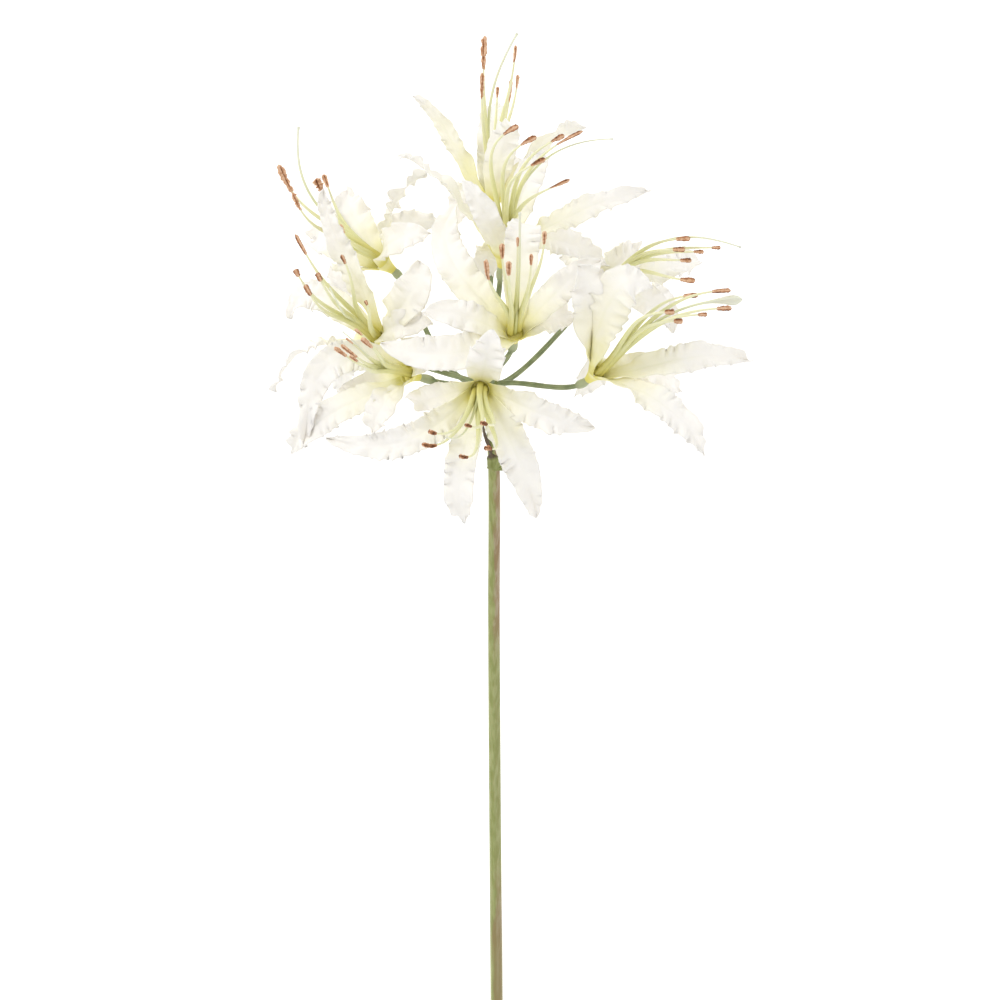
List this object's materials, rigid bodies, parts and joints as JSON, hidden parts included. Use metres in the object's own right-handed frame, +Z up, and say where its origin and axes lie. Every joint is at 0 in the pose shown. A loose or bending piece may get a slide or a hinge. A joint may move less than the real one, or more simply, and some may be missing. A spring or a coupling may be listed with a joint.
{
  "type": "nerine stem",
  "caption": "Cut nerine lying on its side: a leafless green stem that parts into slim stalks, each with a white wavy-petalled flower and long arching stamens.",
  "frame": {"origin": "middle of the bounding box's footprint, on the surface the flower lies on", "axes": "+Y along the stem towards the flowers, +Z up from the surface, +X to the right seen from above"},
  "size_m": [0.2144, 0.4994, 0.1534],
  "materials": {
    "stem": "smooth olive-green plant stem with a brown-pink flush along one side",
    "stalk": "matt grey-green flower stalk",
    "petal": "matt white petal, yellow-green towards the throat",
    "stamen": "pale yellow-green threads with rust-brown anthers"
  },
  "bodies": {
    "root": {"stem": "stem", "stalk_frontLow": "stalk", "petals_frontLow": "petal", "stamens_frontLow": "stamen", "stalk_frontHigh": "stalk", "petals_frontHigh": "petal", "stamens_frontHigh": "stamen", "stalk_topBack": "stalk", "petals_topBack": "petal", "stamens_topBack": "stamen", "stalk_topFront": "stalk", "petals_topFront": "petal", "stamens_topFront": "stamen", "stalk_rightBack": "stalk", "petals_rightBack": "petal", "stamens_rightBack": "stamen", "stalk_rightFront": "stalk", "petals_rightFront": "petal", "stamens_rightFront": "stamen", "stalk_leftBack": "stalk", "petals_leftBack": "petal", "stamens_leftBack": "stamen", "stalk_leftMiddle": "stalk", "petals_leftMiddle": "petal", "stamens_leftMiddle": "stamen", "stalk_leftFront": "stalk", "petals_leftFront": "petal", "stamens_leftFront": "stamen"}
  },
  "joints": []
}
